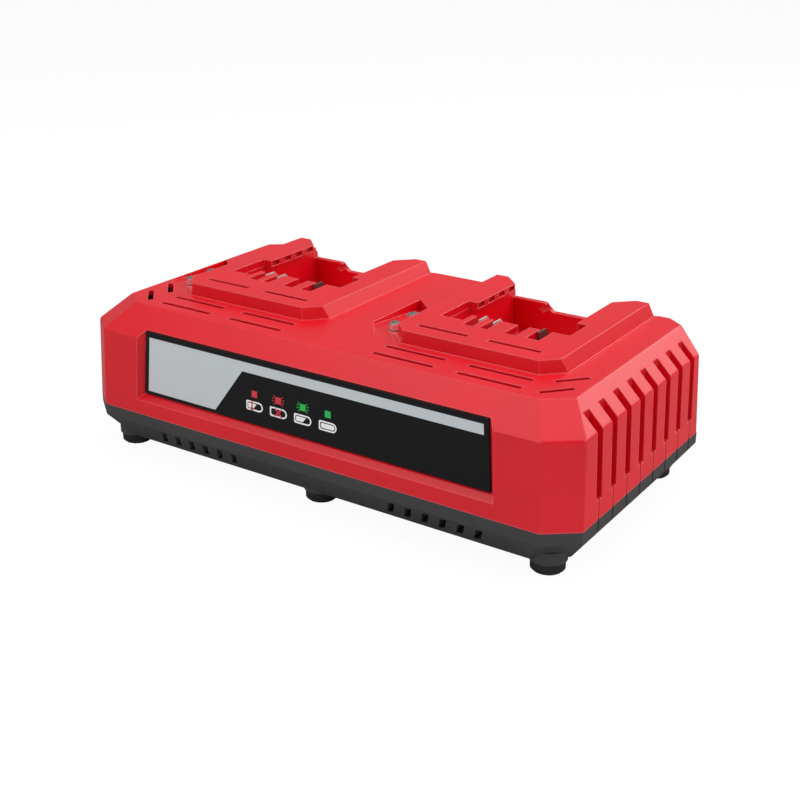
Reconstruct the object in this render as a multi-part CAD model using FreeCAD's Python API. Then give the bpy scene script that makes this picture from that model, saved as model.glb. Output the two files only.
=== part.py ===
"""Two-bay battery charger: red hood, dark base, two slide-on docks and the circuit boards inside.

Millimetres, +Z up, +X to the user's right, +Y to the back. The origin is on the table, under the
centre of the body.
"""
import FreeCAD, Part
import math
from FreeCAD import Vector

# Body
BODY_LENGTH = 270.0
BODY_WIDTH = 141.0
CORNER_CUT_X = 14.0
CORNER_CUT_Y = 11.0
BASE_Z = 6.0
BASE_BAND_Z = 18.5
BASE_TUCK = 9.0
SEAM_Z = 24.0
SHOULDER_Z = 63.0
DECK_Z = 74.6
DRAFT = 1.6
HOOD_RUN = 14.0
SIDE_BEVEL_RUN = 11.4
REAR_BEVEL_RUN = 1.2
DECK_CORNER_FRONT = 12.0
DECK_CORNER_REAR = 8.0
WALL = 2.5
EDGE_ROUND = 2.0
TONGUE_THICKNESS = 1.2
TONGUE_HEIGHT = 2.0

# Docks
DOCK_END_MARGIN = 72.7
DOCK_PITCH = BODY_LENGTH - 2 * DOCK_END_MARGIN
DOCK_FRONT_Y = -29.6
DOCK_RISE = 5.3
DOCK_TOP_Z = DECK_Z + DOCK_RISE
DOCK_HALF_WIDTH = 41.0
DOCK_CORNER = 7.0
DOCK_REAR_GAP = 1.2
DOCK_LEFT_RUN = 6.0
DOCK_RIGHT_RUN = 3.0
DOCK_FRONT_RUN = 0.8
GUTTER_WIDTH = 2.0
GUTTER_DEPTH = 0.7
BAY_FRONT_Y = -8.0
BAY_FLOOR_Z = DECK_Z - 20.6
COMB_FLOOR_Z = DECK_Z - 6.6
BAY_HALF_WIDTH = 31.0
LIP_HALF_OPENING = 26.0
LIP_THICKNESS = 3.6
LIP_START_Y = 22.0
LEAD_IN = 8.5
COMB_DEPTH = 13.0
LIP_WINDOW_COUNT = 4
LIP_WINDOW = 6.0
LIP_WINDOW_PITCH = 9.6
LIP_WINDOW_HEIGHT = 2.4
LIP_WINDOW_DEPTH = 2.4
GATE_HIGH_Z = DECK_Z - 4.4
GATE_LOW_Z = DECK_Z - 8.6
GATE_STEP_X = -13.0
GATE_FACET_RUN = 6.0
GATE_FACET_DROP = 1.7
TRAY_EAR_YS = (0.0, 28.0)
TRAY_EAR_REACH = 6.0
TRAY_EAR_WIDTH = 8.0
TRAY_EAR_Z = 60.0
TRAY_POST_RADIUS = 2.4

# Contact blades: place across the dock, and the comb slot round each
BLADE_XS = (-13.3, -6.0, 17.0)
BLADE_THICKNESS = 0.8
BLADE_DEPTH = 10.0
BLADE_TOP_Z = DOCK_TOP_Z - 0.3
BLADE_FRONT_Y = 2.0
BLADE_GAP = 0.4
COMB_SLOTS = ((-16.4, -11.0), (-7.6, -3.6), (5.0, 11.0), (16.0, 22.4))
POCKET_INNER_X = 19.0
POCKET_FRONT_Y = -3.0

# Vents
VENT_WIDTH = 2.8
DECK_SLOT_ROWS_Y = (-38.5, -48.5)
DECK_SLOT_LENGTH = 31.0
DECK_SLOT_CENTRES = (-21.5, 21.0)
DOCK_SLOT_Y = -20.0
DOCK_SLOT_LENGTH = 26.0
DOCK_SLOT_CENTRES = (-19.0, 17.0)
CORNER_SLOT_LENGTH = 15.5
CORNER_SLOT_X = 112.0
CORNER_SLOT_YS = (-29.0, -43.0)
GROOVE_COUNT = 8
GROOVE_PITCH = 13.6
GROOVE_WIDTH = 5.4
GROOVE_DEPTH = 7.0
GROOVE_BOTTOM_Z = 33.0
GROOVE_CENTRE_Y = 2.0
GROOVE_VENT_TOP_Z = 60.0
LINE_WIDTH = 1.2
LINE_DEPTH = 0.9
BASE_VENT_COUNT = 6
BASE_VENT_PITCH = 8.8
BASE_VENT_CENTRE_X = 66.5
BASE_VENT_WIDTH = 3.4
BASE_VENT_LOW_Z = 8.8
BASE_VENT_HIGH_Z = 16.5
BASE_VENT_LEAN = 28.0

# Front panel in its recess
PANEL_BOTTOM_Z = 34.4
PANEL_TOP_Z = 66.0
PANEL_HALF_BOTTOM = 96.3
PANEL_HALF_TOP = 93.8
PANEL_THICKNESS = 1.2
PANEL_GAP = 0.2
RECESS_DEPTH = 4.0
RECESS_SLOPE = 3.2

# Status light pipes and the ramp that they stand in
LIGHT_X = -DOCK_HALF_WIDTH - 6.0
LIGHT_YS = (-16.0, -1.0)
LIGHT_RADIUS = 3.2
LIGHT_TOP_Z = DECK_Z + 3.0
LIGHT_GAP = 0.15
LIGHT_FLANGE = 1.0
LIGHT_DOME = 1.2
RAMP_LEFT_X = -DOCK_HALF_WIDTH - 19.0
RAMP_START_Y = -30.0
RAMP_END_Y = 25.0
RAMP_DROP = 5.2

# Feet
FOOT_SPACING_X = BODY_LENGTH / 2 - 17.6
FOOT_Y = BODY_WIDTH / 2 - 16.2
FOOT_RADIUS = 7.5
FOOT_HEIGHT = 5.2
FOOT_STEM_RADIUS = 2.6
FOOT_BOSS_MARGIN = 0.8

# Boards, screws and the cord inlet
SCREW_REAR_X = BODY_LENGTH / 2 - 32.0
SCREW_REAR_Y = BODY_WIDTH / 2 - 26.5
SCREW_FRONT_Y = -BODY_WIDTH / 2 + 20.0
SCREW_MIDDLE_Y = BODY_WIDTH / 2 - 32.5
SCREW_PLACES = ((0.0, -SCREW_MIDDLE_Y), (0.0, SCREW_MIDDLE_Y), (-DOCK_PITCH / 2, SCREW_FRONT_Y),
                (DOCK_PITCH / 2, SCREW_FRONT_Y), (-SCREW_REAR_X, SCREW_REAR_Y), (SCREW_REAR_X, SCREW_REAR_Y))
BOSS_RADIUS = 4.2
BOSS_JOINT_Z = 40.0
SCREW_RADIUS = 1.6
SCREW_HEAD_RADIUS = 3.0
SCREW_HEAD_HEIGHT = 2.2
SCREW_SEAT_Z = 32.0
SCREW_LENGTH = 18.0
FIT_GAP = 0.15
BOARD_HALF_LENGTH = 92.0
BOARD_HALF_WIDTH = 30.0
BOARD_THICKNESS = 1.6
BOARD_Z = 14.0
DOCK_BOARD_Z = BAY_FLOOR_Z - 8.4
DOCK_BOARD_LEFT = LIGHT_X - 5.0
DOCK_BOARD_RIGHT = 31.0
DOCK_BOARD_FRONT = -24.0
DOCK_BOARD_REAR = 16.0
DOCK_POSTS = ((-1.0, -19.0), (-26.0, 12.0), (26.0, 12.0))
POST_RADIUS = 3.0
SMALL_SCREW_RADIUS = 1.1
SMALL_HEAD_RADIUS = 2.2
SMALL_HEAD_HEIGHT = 1.6
SMALL_SCREW_LENGTH = 7.0
INLET_X = -BODY_LENGTH / 2 + 55.0
INLET_BORE = 3.6
INLET_NECK = 5.6
INLET_FLANGE = 7.6
INLET_FLANGE_THICKNESS = 1.8
INLET_WALL = 4.2

# Parts on the main board: places, then sizes
CORE_X = 10.0
CORE_LENGTH = 36.0
CORE_DEPTH = 12.0
CORE_HEIGHT = 24.0
CORE_LIFT = 3.0
CORE_YOKE = 5.0
CORE_SIDE_LEG = 5.5
CORE_MIDDLE_LEG = 12.0
COIL_DEPTH = 26.0
COIL_FLANGE = 1.2
MAINS_CAN = (-42.0, 8.0, 11.0, 26.0)
OUTPUT_CAN_X = 62.0
OUTPUT_CAN_YS = (-10.0, 10.0)
OUTPUT_CAN_RADIUS = 6.3
OUTPUT_CAN_HEIGHT = 22.0
CAN_CRIMP = 0.7
SINK_XS = (-24.0, 40.0)
SINK_HALF_WIDTH = 24.0
SINK_HEIGHT = 26.0
SINK_PLATE = 3.0
SINK_REACH = 11.0
FIN_COUNT = 8
FIN_THICKNESS = 1.4
TRANSISTOR_Y = 8.0
DIODE_YS = (-11.0, 11.0)
DEVICE_THICKNESS = 4.5
DEVICE_WIDTH = 15.6
DEVICE_HEIGHT = 16.0
DEVICE_LIFT = 6.0
LEG_WIDTH = 1.2
LEG_PITCH = 5.0
CHOKE_X = -64.0
CHOKE_Y = -15.0
CHOKE_RADIUS = 8.5
CHOKE_SECTION = 4.6
CHOKE_SEAT_RADIUS = 11.0
CHOKE_SEAT_HEIGHT = 3.4
BOX_CAP_X = -66.0
BOX_CAP_Y = 8.0
BOX_CAP_SIZE = (18.0, 9.0, 15.0)
RECTIFIER_X = -48.0
RECTIFIER_Y = -16.0
RECTIFIER_SIZE = (4.0, 20.0, 14.0)
FUSE_X = -83.0
FUSE_Y = 5.0
FUSE_LENGTH = 20.0
FUSE_RADIUS = 2.6
CLIP_WIDTH = 7.6
CLIP_LENGTH = 3.6
CLIP_HEIGHT = 5.4
LEAD_RADIUS = 0.9
LEAD_PITCH = 3.2
LEAD_START_X = 20.0
LEAD_Y = -21.0

HALF_LENGTH = BODY_LENGTH / 2
BOARD_TOP_Z = BOARD_Z + BOARD_THICKNESS
HALF_WIDTH = BODY_WIDTH / 2
CORNER_SLOPE = CORNER_CUT_Y / CORNER_CUT_X
DOCK_CENTRES = {"left": -DOCK_PITCH / 2, "right": DOCK_PITCH / 2}
DECK_REAR_Y = HALF_WIDTH - DRAFT - REAR_BEVEL_RUN
DOCK_REAR_Y = DECK_REAR_Y - DOCK_REAR_GAP
BAY_REAR_Y = DECK_REAR_Y - WALL
COMB_REAR_Y = BAY_FRONT_Y + COMB_DEPTH
LIP_UNDER_Z = DOCK_TOP_Z - LIP_THICKNESS
FLOOR_TOP_Z = BASE_Z + WALL
OPEN = 40.0


def box(x0, x1, y0, y1, z0, z1):
    return Part.makeBox(x1 - x0, y1 - y0, z1 - z0, Vector(x0, y0, z0))


def rod(x, y, z0, z1, radius):
    return Part.makeCylinder(radius, z1 - z0, Vector(x, y, z0))


def face_of(points):
    wire = Part.makePolygon([Vector(*p) for p in points] + [Vector(*points[0])])
    return Part.Face(wire)


def plan_prism(points, z0, z1):
    """Straight prism from an outline seen from above."""
    return face_of([(x, y, z0) for x, y in points]).extrude(Vector(0, 0, z1 - z0))


def front_prism(points, y0, y1):
    """Straight prism from an outline in X and Z, seen from the front."""
    return face_of([(x, y0, z) for x, z in points]).extrude(Vector(0, y1 - y0, 0))


def side_prism(points, x0, x1):
    """Straight prism from an outline in Y and Z, seen from the side."""
    return face_of([(x0, y, z) for y, z in points]).extrude(Vector(x1 - x0, 0, 0))


def turned(profile, x, y):
    """Solid of revolution about a vertical axis from (radius, z) points."""
    face = face_of([(x + r, y, z) for r, z in profile])
    return face.revolve(Vector(x, y, 0), Vector(0, 0, 1), 360)


def joined(shape, extras):
    return shape.fuse(extras).removeSplitter()


def inset_corner(cut, inset):
    """Corner cut of an outline that lies an even inset inside another."""
    slant = math.sqrt(1 + CORNER_SLOPE ** 2)
    return cut - inset * (1 + (1 - slant) / CORNER_SLOPE)


def outline(z, half_length, front, rear, front_cut, rear_cut, inset=0.0):
    """Eight-sided body outline at one height."""
    x = half_length - inset
    yf = front + inset
    yr = rear - inset
    fc = inset_corner(front_cut, inset)
    rc = inset_corner(rear_cut, inset)
    points = [(-x + fc, yf), (x - fc, yf), (x, yf + fc * CORNER_SLOPE), (x, yr - rc * CORNER_SLOPE),
              (x - rc, yr), (-x + rc, yr), (-x, yr - rc * CORNER_SLOPE), (-x, yf + fc * CORNER_SLOPE)]
    return Part.makePolygon([Vector(px, py, z) for px, py in points + points[:1]])


def seam_outline(z, inset=0.0):
    return outline(z, HALF_LENGTH, -HALF_WIDTH, HALF_WIDTH, CORNER_CUT_X, CORNER_CUT_X, inset)


def hood_body(inset=0.0, drop=0.0):
    """Outer form of the hood, or the same form inset for its inside."""
    x = HALF_LENGTH - DRAFT
    y = HALF_WIDTH - DRAFT
    low = seam_outline(SEAM_Z - (OPEN / 10 if inset else 0), inset)
    shoulder = outline(SHOULDER_Z - drop / 2, x, -y, y, CORNER_CUT_X, CORNER_CUT_X, inset)
    deck = outline(DECK_Z - drop, x - SIDE_BEVEL_RUN, -y + HOOD_RUN, DECK_REAR_Y,
                   DECK_CORNER_FRONT, DECK_CORNER_REAR, inset)
    return Part.makeLoft([low, shoulder, deck], True, True)


def base_body(inset=0.0, floor=0.0):
    """Outer form of the base, or the same form inset for its inside."""
    top = seam_outline(SEAM_Z + (1 if inset else 0), inset)
    band = seam_outline(BASE_BAND_Z, inset)
    bottom = outline(BASE_Z + floor, HALF_LENGTH - BASE_TUCK, -HALF_WIDTH + BASE_TUCK,
                     HALF_WIDTH - BASE_TUCK, CORNER_CUT_X, CORNER_CUT_X, inset)
    return Part.makeLoft([top, band, bottom], True, True)


def leaned(shape):
    """Tip a shape made against an upright front so that it lies on the drafted front wall."""
    angle = math.degrees(math.atan2(DRAFT, SHOULDER_Z - SEAM_Z))
    shape.rotate(Vector(0, -HALF_WIDTH, SEAM_Z), Vector(1, 0, 0), -angle)
    return shape


def dock_block(x):
    """Raised dock seen from outside, before its bay is cut."""
    front = DOCK_FRONT_Y
    right = DOCK_HALF_WIDTH + DOCK_RIGHT_RUN
    left = DOCK_HALF_WIDTH + DOCK_LEFT_RUN
    flat = DOCK_HALF_WIDTH - DOCK_CORNER
    top = [(-flat, front), (flat, front), (DOCK_HALF_WIDTH, front + DOCK_CORNER),
           (DOCK_HALF_WIDTH, DOCK_REAR_Y), (-DOCK_HALF_WIDTH, DOCK_REAR_Y),
           (-DOCK_HALF_WIDTH, front + DOCK_CORNER)]
    low = front - DOCK_FRONT_RUN
    reach = flat + DOCK_FRONT_RUN
    foot = [(-reach, low), (reach, low), (right, low + right - reach), (right, DOCK_REAR_Y),
            (-left, DOCK_REAR_Y), (-left, low + left - reach)]
    wires = []
    for points, z in ((foot, DECK_Z - GUTTER_DEPTH), (top, DOCK_TOP_Z)):
        loop = [Vector(x + px, py, z) for px, py in points]
        wires.append(Part.makePolygon(loop + loop[:1]))
    return Part.makeLoft(wires, True, True), foot


def gutter(x, block, foot):
    """Shallow step round the foot of a dock."""
    ring = Part.makePolygon([Vector(x + px, py, DECK_Z - GUTTER_DEPTH) for px, py in foot + foot[:1]])
    wide = ring.makeOffset2D(GUTTER_WIDTH, 2)
    return Part.Face(wide).extrude(Vector(0, 0, OPEN)).cut(block)


def mouth_cut(x):
    """Opening of a bay through the top of its dock, flared at the back to lead the battery in."""
    rear = DOCK_REAR_Y + 1
    lip = LIP_HALF_OPENING
    wide = lip + LEAD_IN + 1
    mouth = [(-lip, COMB_REAR_Y), (lip, COMB_REAR_Y), (lip, DOCK_REAR_Y - LEAD_IN), (wide, rear),
             (wide, rear + OPEN), (-wide, rear + OPEN), (-wide, rear), (-lip, DOCK_REAR_Y - LEAD_IN)]
    return plan_prism([(x + px, py) for px, py in mouth], LIP_UNDER_Z - 0.5, DOCK_TOP_Z + OPEN)


def gate_cut(x):
    """Low way in over the rear wall, with one step on the left."""
    step = GATE_HIGH_Z - GATE_LOW_Z
    gate = [(-BAY_HALF_WIDTH, LIP_UNDER_Z), (-BAY_HALF_WIDTH, GATE_HIGH_Z), (GATE_STEP_X, GATE_HIGH_Z),
            (GATE_STEP_X + step, GATE_LOW_Z), (BAY_HALF_WIDTH, GATE_LOW_Z), (BAY_HALF_WIDTH, LIP_UNDER_Z)]
    return front_prism([(x + px, pz) for px, pz in gate], BAY_REAR_Y - 1, HALF_WIDTH + 1)


def gate_facet(x):
    """Corner cut off the inside of the wall at the step of the gate."""
    high = (x + GATE_STEP_X, DECK_REAR_Y, GATE_HIGH_Z)
    low = (x + GATE_STEP_X + GATE_HIGH_Z - GATE_LOW_Z, DECK_REAR_Y, GATE_LOW_Z)
    inner = (x + GATE_STEP_X - GATE_FACET_RUN, BAY_REAR_Y - 0.5, GATE_LOW_Z - GATE_FACET_DROP)
    apex = (low[0], BAY_REAR_Y - 0.5, GATE_HIGH_Z)
    corners = (high, low, inner, apex)
    faces = [face_of([c for c in corners if c is not left_out]) for left_out in corners]
    return Part.makeSolid(Part.makeShell(faces))


def comb_cuts(x, z0, z1):
    return [box(x + low, x + high, BAY_FRONT_Y, COMB_REAR_Y + 1, z0, z1) for low, high in COMB_SLOTS]


def dock_cuts(x):
    """What is cut out of one dock of the hood for the battery's foot and the contacts."""
    top = DOCK_TOP_Z + OPEN
    cuts = [mouth_cut(x), gate_cut(x), gate_facet(x)] + comb_cuts(x, LIP_UNDER_Z - 1, top)
    lip = LIP_HALF_OPENING
    outer = BAY_HALF_WIDTH
    cuts.append(box(x - outer, x - POCKET_INNER_X, POCKET_FRONT_Y, LIP_START_Y, LIP_UNDER_Z - 1, top))
    cuts.append(box(x + lip - 1, x + outer, COMB_REAR_Y, LIP_START_Y, LIP_UNDER_Z - 1, top))
    middle = (LIP_START_Y + DOCK_REAR_Y - LEAD_IN) / 2
    z = LIP_UNDER_Z + (LIP_THICKNESS - LIP_WINDOW_HEIGHT) / 2
    for face in (x - lip, x + lip):
        for i in range(LIP_WINDOW_COUNT):
            y = middle + (i - (LIP_WINDOW_COUNT - 1) / 2) * LIP_WINDOW_PITCH
            cuts.append(box(face - LIP_WINDOW_DEPTH, face + LIP_WINDOW_DEPTH, y - LIP_WINDOW / 2,
                            y + LIP_WINDOW / 2, z, z + LIP_WINDOW_HEIGHT))
    return cuts


def dock_hollows(x):
    """Space inside the raised rim of one dock, open to the inside of the hood."""
    low = SHOULDER_Z
    outer = DOCK_HALF_WIDTH - WALL
    front = DOCK_FRONT_Y + WALL
    flat = DOCK_HALF_WIDTH - DOCK_CORNER - WALL / 2
    rear = BAY_FRONT_Y - WALL - FIT_GAP
    rim = plan_prism([(x - flat, front), (x + flat, front), (x + outer, front + DOCK_CORNER), (x + outer, rear),
                      (x - outer, rear), (x - outer, front + DOCK_CORNER)], low, DOCK_TOP_Z - WALL)
    tray = BAY_HALF_WIDTH + WALL + FIT_GAP
    return [rim, box(x - outer, x + outer, rear - 1, DOCK_REAR_Y - WALL, low, LIP_UNDER_Z),
            box(x - tray, x + tray, rear, BAY_REAR_Y, low, LIP_UNDER_Z)]


def rear_inside(z):
    """Inner face of the hood's rear wall at one height."""
    knee = SHOULDER_Z - WALL / 2
    knee_y = HALF_WIDTH - DRAFT - WALL
    if z < knee:
        return knee_y + DRAFT * (knee - z) / (knee - SEAM_Z)
    return knee_y - REAR_BEVEL_RUN * min(1.0, (z - knee) / (DECK_Z - WALL - knee))


def ear_places(x):
    reach = BAY_HALF_WIDTH + WALL + TRAY_EAR_REACH / 2
    return [(x + side * reach, y) for side in (-1, 1) for y in TRAY_EAR_YS]


def battery_tray(x):
    """Tub that hangs under one dock: floor, side walls and the block that the blades stand in."""
    under = BAY_FLOOR_Z - WALL
    side = BAY_HALF_WIDTH + WALL
    front = BAY_FRONT_Y - WALL
    heights = (under, SHOULDER_Z - WALL / 2, DECK_Z - WALL, LIP_UNDER_Z)
    profile = [(front, LIP_UNDER_Z), (front, under)] + [(rear_inside(z) - FIT_GAP, z) for z in heights]
    tray = side_prism(profile, x - side, x + side)
    ears = [box(x - side - TRAY_EAR_REACH, x + side + TRAY_EAR_REACH, y - TRAY_EAR_WIDTH / 2,
                y + TRAY_EAR_WIDTH / 2, TRAY_EAR_Z, TRAY_EAR_Z + WALL) for y in TRAY_EAR_YS]
    posts = [rod(x + px, py, DOCK_BOARD_Z + BOARD_THICKNESS, under, POST_RADIUS)
             for px, py in DOCK_POSTS if py > BAY_FRONT_Y]
    tray = tray.fuse(ears + posts)
    inner = BAY_HALF_WIDTH
    cuts = [box(x - inner, x + inner, COMB_REAR_Y, HALF_WIDTH, BAY_FLOOR_Z, DOCK_TOP_Z)]
    cuts.append(box(x - inner, x - POCKET_INNER_X, POCKET_FRONT_Y, COMB_REAR_Y + 1, BAY_FLOOR_Z, DOCK_TOP_Z))
    cuts += comb_cuts(x, COMB_FLOOR_Z, DOCK_TOP_Z)
    half = BLADE_THICKNESS / 2 + BLADE_GAP
    for bx in BLADE_XS:
        cuts.append(box(x + bx - half, x + bx + half, BLADE_FRONT_Y - BLADE_GAP,
                        BLADE_FRONT_Y + BLADE_DEPTH + BLADE_GAP, under - 1, COMB_FLOOR_Z + 1))
    for ex, ey in ear_places(x):
        cuts.append(rod(ex, ey, TRAY_EAR_Z - 1, TRAY_EAR_Z + WALL + 1, SMALL_SCREW_RADIUS + FIT_GAP))
    cuts += [screw_bore(x + px, py) for px, py in DOCK_POSTS if py > BAY_FRONT_Y]
    return tray.cut(cuts).removeSplitter()


def screw_bore(x, y):
    """Blind hole for the small screw that holds a dock board to a post."""
    z = DOCK_BOARD_Z + BOARD_THICKNESS
    return rod(x, y, z - 1, z + SMALL_SCREW_LENGTH - BOARD_THICKNESS + 0.5, SMALL_SCREW_RADIUS + 0.05)


def slot(x, y, length, z0, z1, angle=0.0):
    """Vent slot through a flat top, centred at x and y."""
    cut = box(-length / 2, length / 2, -VENT_WIDTH / 2, VENT_WIDTH / 2, z0, z1)
    cut.rotate(Vector(0, 0, 0), Vector(0, 0, 1), angle)
    cut.translate(Vector(x, y, 0))
    return cut


def hood_vents():
    cuts = []
    for side, x in DOCK_CENTRES.items():
        for y in DECK_SLOT_ROWS_Y:
            for centre in DECK_SLOT_CENTRES:
                cuts.append(slot(x + centre, y, DECK_SLOT_LENGTH, SHOULDER_Z, DECK_Z + 1))
        for centre in DOCK_SLOT_CENTRES:
            cuts.append(slot(x + centre, DOCK_SLOT_Y, DOCK_SLOT_LENGTH, SHOULDER_Z, DOCK_TOP_Z + 1))
    for sign in (-1, 1):
        for y in CORNER_SLOT_YS:
            cuts.append(slot(sign * CORNER_SLOT_X, y, CORNER_SLOT_LENGTH, SHOULDER_Z, DECK_Z + 1, sign * 48))
    return cuts


def groove_places():
    middle = (GROOVE_COUNT - 1) / 2
    return [GROOVE_CENTRE_Y + (i - middle) * GROOVE_PITCH for i in range(GROOVE_COUNT)]


def side_grooves():
    """Deep cooling grooves in both ends, with a narrow vent in the floor of each."""
    floor = HALF_LENGTH - DRAFT - GROOVE_DEPTH
    cuts = []
    for sign in (-1, 1):
        for y in groove_places():
            a, b = sorted((sign * floor, sign * (HALF_LENGTH + 1)))
            cuts.append(box(a, b, y - GROOVE_WIDTH / 2, y + GROOVE_WIDTH / 2, GROOVE_BOTTOM_Z, DECK_Z))
            a, b = sorted((sign * (floor - WALL - 1), sign * (floor + 1)))
            cuts.append(box(a, b, y - VENT_WIDTH / 2, y + VENT_WIDTH / 2, GROOVE_BOTTOM_Z + WALL,
                            GROOVE_VENT_TOP_Z))
    return cuts


def fine_lines(core, z0, z1):
    """Thin lines that carry the grooves on down the ends; core is the body inset by their depth."""
    slabs = []
    for y in groove_places():
        for sign in (-1, 1):
            a, b = sorted((sign * (HALF_LENGTH - CORNER_CUT_X), sign * (HALF_LENGTH + 1)))
            slabs.append(box(a, b, y - LINE_WIDTH / 2, y + LINE_WIDTH / 2, z0, z1).cut(core))
    return slabs


def panel_outline(gap=0.0):
    return [(-PANEL_HALF_BOTTOM - gap, PANEL_BOTTOM_Z - gap), (PANEL_HALF_BOTTOM + gap, PANEL_BOTTOM_Z - gap),
            (PANEL_HALF_TOP + gap, PANEL_TOP_Z + gap), (-PANEL_HALF_TOP - gap, PANEL_TOP_Z + gap)]


def panel_recess():
    """Tapered recess in the front wall; its mouth is wider than its floor."""
    floor = [(x, -HALF_WIDTH + RECESS_DEPTH, z) for x, z in panel_outline(PANEL_GAP)]
    mouth = [(x, -HALF_WIDTH - 0.01, z) for x, z in panel_outline(RECESS_SLOPE)]
    wires = [Part.makePolygon([Vector(*p) for p in ring + ring[:1]]) for ring in (mouth, floor)]
    return leaned(Part.makeLoft(wires, True, True))


def indicator_panel():
    plate = front_prism(panel_outline(), -HALF_WIDTH + RECESS_DEPTH - PANEL_THICKNESS,
                        -HALF_WIDTH + RECESS_DEPTH)
    return leaned(plate)


def ramp_plan(x, grow=0.0):
    """Outline from above of the sunken ramp beside a dock."""
    edge = DOCK_HALF_WIDTH
    left = RAMP_LEFT_X - grow
    return [(x + left, RAMP_START_Y + 15), (x - edge - 8, RAMP_START_Y),
            (x - edge + DOCK_CORNER, RAMP_START_Y), (x - edge, DOCK_FRONT_Y + DOCK_CORNER),
            (x - edge, RAMP_END_Y - 10 + grow), (x - edge - 8, RAMP_END_Y - 10 + grow),
            (x + left, RAMP_END_Y + grow)]


def ramp_cut(x):
    wedge = side_prism([(RAMP_START_Y - 1, DECK_Z), (RAMP_END_Y + 1, DECK_Z - RAMP_DROP),
                        (RAMP_END_Y + 1, DOCK_TOP_Z + 1), (RAMP_START_Y - 1, DOCK_TOP_Z + 1)],
                       x + RAMP_LEFT_X - 1, x)
    return plan_prism(ramp_plan(x), SHOULDER_Z, DOCK_TOP_Z + 1).common(wedge)


def ramp_floor(x):
    low = DECK_Z - RAMP_DROP - WALL
    return plan_prism(ramp_plan(x, WALL), low, DECK_Z - WALL / 2)


def inlet_profile(gap):
    """Radius and depth along the inlet bush, measured from the back face inwards."""
    flange = INLET_FLANGE + gap
    neck = INLET_NECK + gap
    step = INLET_FLANGE_THICKNESS + gap
    return flange, neck, step


def inlet_space():
    """Hole for the inlet bush, half in the hood and half in the base."""
    flange, neck, step = inlet_profile(FIT_GAP)
    back = Vector(0, -1, 0)
    outer = Part.makeCylinder(flange, step + 5, Vector(INLET_X, HALF_WIDTH + 5, SEAM_Z), back)
    through = Part.makeCylinder(neck, INLET_WALL + 6, Vector(INLET_X, HALF_WIDTH + 5, SEAM_Z), back)
    return outer.fuse(through)


def cord_inlet():
    """Rubber bush that the mains cord would pass through."""
    flange, neck, step = inlet_profile(0.0)
    front = HALF_WIDTH - DRAFT / 4
    wall_in = HALF_WIDTH - INLET_WALL - FIT_GAP
    back = Vector(0, -1, 0)
    centre = Vector(INLET_X, 0, SEAM_Z)
    bush = Part.makeCylinder(flange, front - (HALF_WIDTH - step), centre + Vector(0, front, 0), back)
    bush = bush.fuse(Part.makeCylinder(neck, front - wall_in, centre + Vector(0, front, 0), back))
    bush = bush.fuse(Part.makeCylinder(flange, step, centre + Vector(0, wall_in, 0), back))
    bore = Part.makeCylinder(INLET_BORE, OPEN, centre + Vector(0, HALF_WIDTH + 5, 0), back)
    return bush.cut(bore).removeSplitter()


def inlet_pad(z0, z1):
    reach = INLET_FLANGE + WALL
    return box(INLET_X - reach, INLET_X + reach, HALF_WIDTH - INLET_WALL, HALF_WIDTH, z0, z1)


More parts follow.
